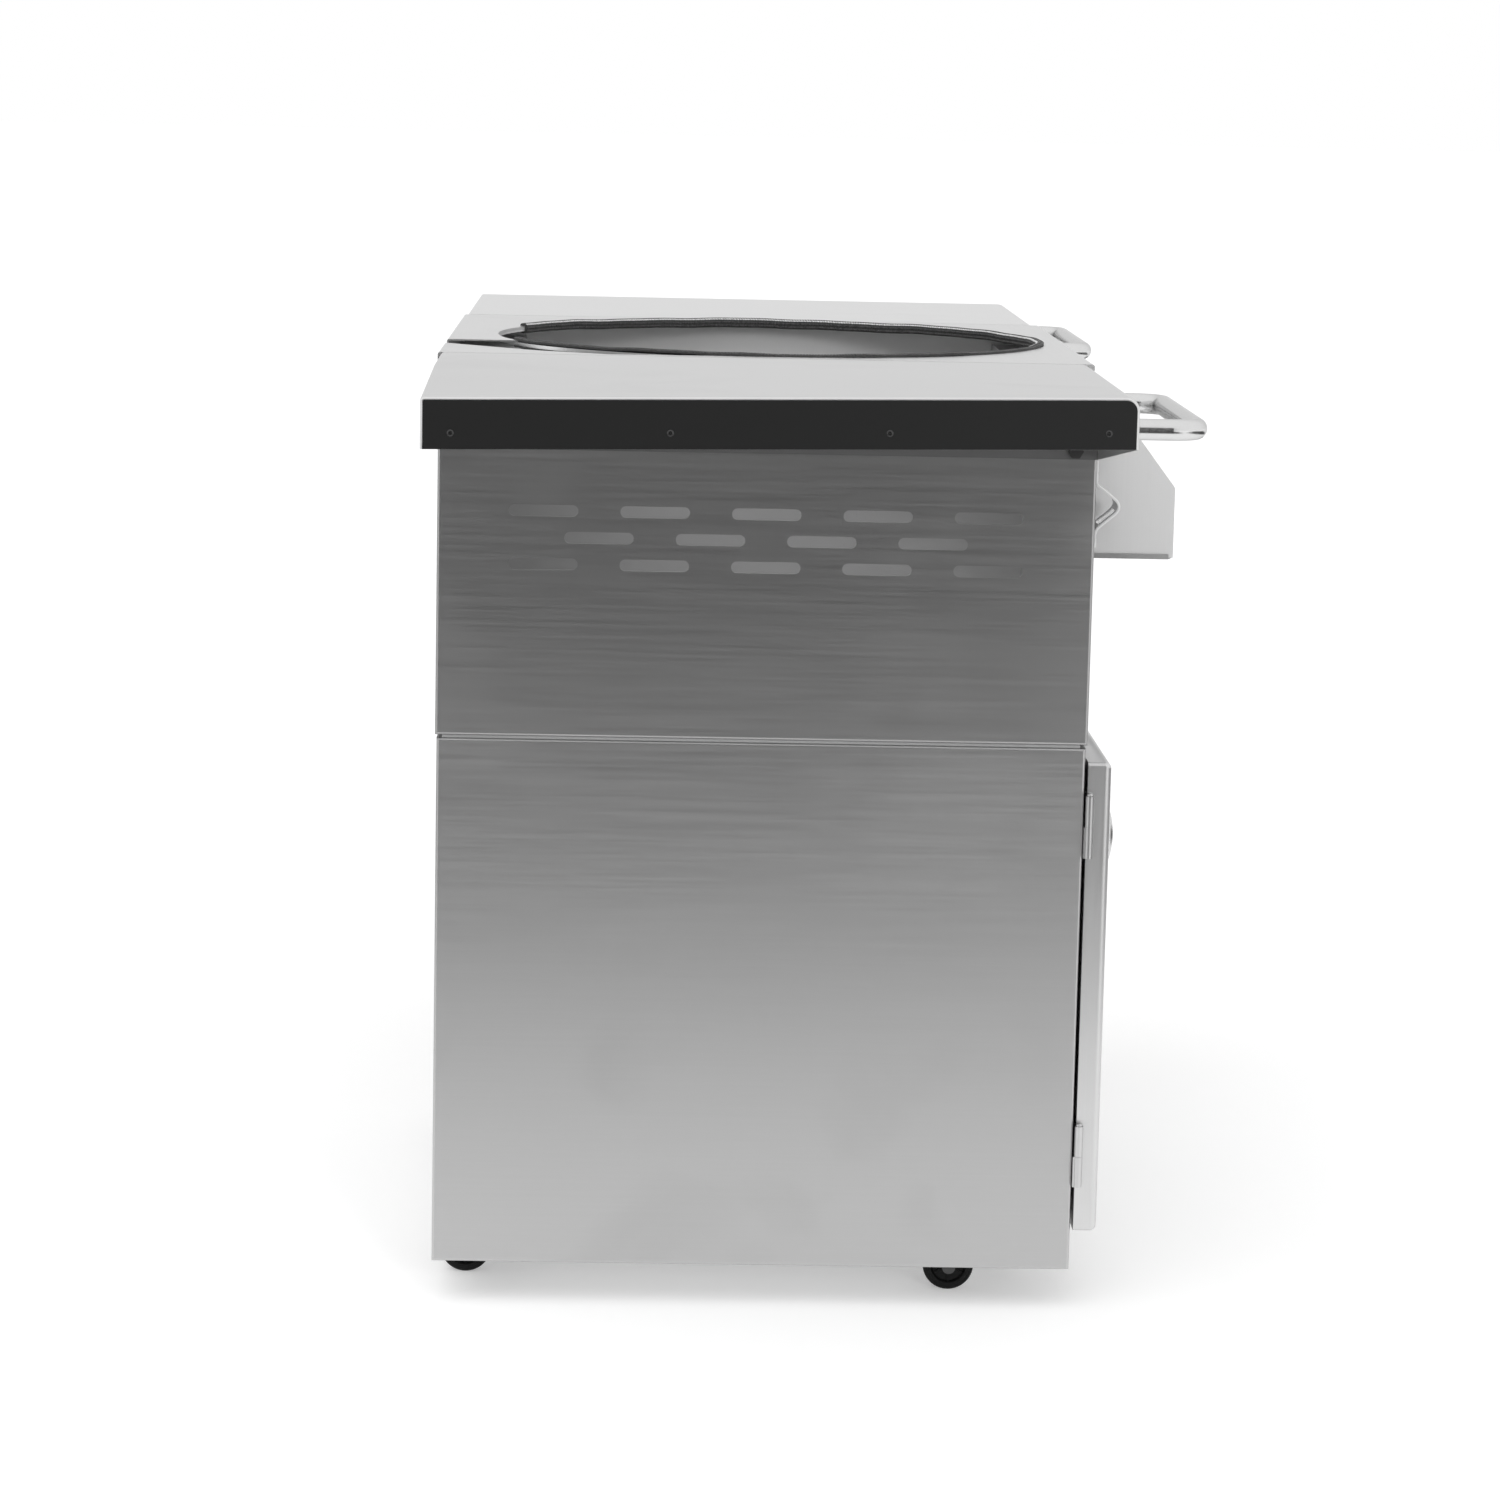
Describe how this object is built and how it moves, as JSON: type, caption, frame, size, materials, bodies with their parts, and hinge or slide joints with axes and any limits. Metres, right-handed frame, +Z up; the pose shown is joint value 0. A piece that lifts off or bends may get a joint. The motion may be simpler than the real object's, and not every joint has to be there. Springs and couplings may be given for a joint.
{
  "type": "kamado grill table",
  "caption": "Stainless steel kamado grill table with a round opening, side shelves, towel handles, a vented housing, a cabinet with doors and swivel casters.",
  "frame": {"origin": "on the floor, at the bottom centre of the bounding box", "axes": "+X along the table towards the right shelf as seen from the front, +Y towards the back, +Z up; the doors and handles face -Y"},
  "size_m": [1.422, 0.709, 0.9165],
  "materials": {
    "brushed_stainless": "brushed along the sheet",
    "polished_stainless": "polished",
    "dark_painted_steel": "satin black paint",
    "fastener_steel": "plain",
    "hinge_steel": "satin",
    "braided_gasket": "braided glass fibre",
    "black_plastic": "matte",
    "black_caster_steel": "semi-gloss black",
    "black_wheel": "satin"
  },
  "bodies": {
    "table": {"cabinet_left_side": "brushed_stainless", "cabinet_right_side": "brushed_stainless", "cabinet_back": "brushed_stainless", "base_pan": "brushed_stainless", "door_frame": "brushed_stainless", "kamado_deck": "brushed_stainless", "deck_stiffeners": "brushed_stainless", "housing_left_side": "brushed_stainless", "housing_right_side": "brushed_stainless", "housing_back": "brushed_stainless", "housing_front": "brushed_stainless", "top_rails": "brushed_stainless", "middle_top_panel": "brushed_stainless", "opening_ring": "brushed_stainless", "fascia_panel": "brushed_stainless", "fascia_left_cheek": "brushed_stainless", "fascia_right_cheek": "brushed_stainless", "left_shelf_pan": "brushed_stainless", "right_shelf_pan": "brushed_stainless", "left_shelf_mounting_plate": "brushed_stainless", "right_shelf_mounting_plate": "brushed_stainless", "left_shelf_end_cap": "dark_painted_steel", "right_shelf_end_cap": "dark_painted_steel", "left_towel_handle": "polished_stainless", "right_towel_handle": "polished_stainless", "bottle_opener": "polished_stainless", "end_cap_rivets": "fastener_steel", "shelf_bolts": "fastener_steel", "towel_handle_fixings": "fastener_steel", "bottle_opener_screws": "fastener_steel", "caster_bolts": "fastener_steel", "hinge_frame_leaves": "hinge_steel", "hinge_pins": "hinge_steel", "opening_edge_trim": "braided_gasket", "door_catches": "black_plastic", "caster_plates": "black_caster_steel"},
    "left_door": {"left_door_skin": "brushed_stainless", "left_door_liner": "brushed_stainless", "left_door_handle": "polished_stainless", "left_door_handle_screws": "fastener_steel", "left_door_hinge_leaves": "hinge_steel", "left_door_striker": "fastener_steel"},
    "right_door": {"right_door_skin": "brushed_stainless", "right_door_liner": "brushed_stainless", "right_door_handle": "polished_stainless", "right_door_handle_screws": "fastener_steel", "right_door_hinge_leaves": "hinge_steel", "right_door_striker": "fastener_steel"},
    "front_left_caster": {"front_left_caster_fork": "black_caster_steel", "front_left_caster_axle": "fastener_steel"},
    "front_left_wheel": {"front_left_caster_wheel": "black_wheel"},
    "front_right_caster": {"front_right_caster_fork": "black_caster_steel", "front_right_caster_axle": "fastener_steel"},
    "front_right_wheel": {"front_right_caster_wheel": "black_wheel"},
    "rear_left_caster": {"rear_left_caster_fork": "black_caster_steel", "rear_left_caster_axle": "fastener_steel"},
    "rear_left_wheel": {"rear_left_caster_wheel": "black_wheel"},
    "rear_right_caster": {"rear_right_caster_fork": "black_caster_steel", "rear_right_caster_axle": "fastener_steel"},
    "rear_right_wheel": {"rear_right_caster_wheel": "black_wheel"}
  },
  "joints": [
    {"name": "left_door_hinge", "type": "hinge", "parent": "table", "child": "left_door", "pos_m": [-0.3854, -0.2735, 0.31], "axis": [0, 0, -1], "range_deg": [0, 180]},
    {"name": "right_door_hinge", "type": "hinge", "parent": "table", "child": "right_door", "pos_m": [0.3854, -0.2735, 0.31], "axis": [0, 0, 1], "range_deg": [0, 180]},
    {"name": "front_left_caster_swivel", "type": "hinge", "parent": "table", "child": "front_left_caster", "pos_m": [-0.298, -0.182, 0.06], "axis": [0, 0, 1], "continuous": true},
    {"name": "front_left_wheel_spin", "type": "hinge", "parent": "front_left_caster", "child": "front_left_wheel", "pos_m": [-0.298, -0.157, 0.025], "axis": [1, 0, 0], "continuous": true},
    {"name": "front_right_caster_swivel", "type": "hinge", "parent": "table", "child": "front_right_caster", "pos_m": [0.298, -0.182, 0.06], "axis": [0, 0, 1], "continuous": true},
    {"name": "front_right_wheel_spin", "type": "hinge", "parent": "front_right_caster", "child": "front_right_wheel", "pos_m": [0.298, -0.157, 0.025], "axis": [1, 0, 0], "continuous": true},
    {"name": "rear_left_caster_swivel", "type": "hinge", "parent": "table", "child": "rear_left_caster", "pos_m": [-0.257, 0.295, 0.06], "axis": [0, 0, 1], "continuous": true},
    {"name": "rear_left_wheel_spin", "type": "hinge", "parent": "rear_left_caster", "child": "rear_left_wheel", "pos_m": [-0.257, 0.32, 0.025], "axis": [1, 0, 0], "continuous": true},
    {"name": "rear_right_caster_swivel", "type": "hinge", "parent": "table", "child": "rear_right_caster", "pos_m": [0.257, 0.295, 0.06], "axis": [0, 0, 1], "continuous": true},
    {"name": "rear_right_wheel_spin", "type": "hinge", "parent": "rear_right_caster", "child": "rear_right_wheel", "pos_m": [0.257, 0.32, 0.025], "axis": [1, 0, 0], "continuous": true}
  ]
}
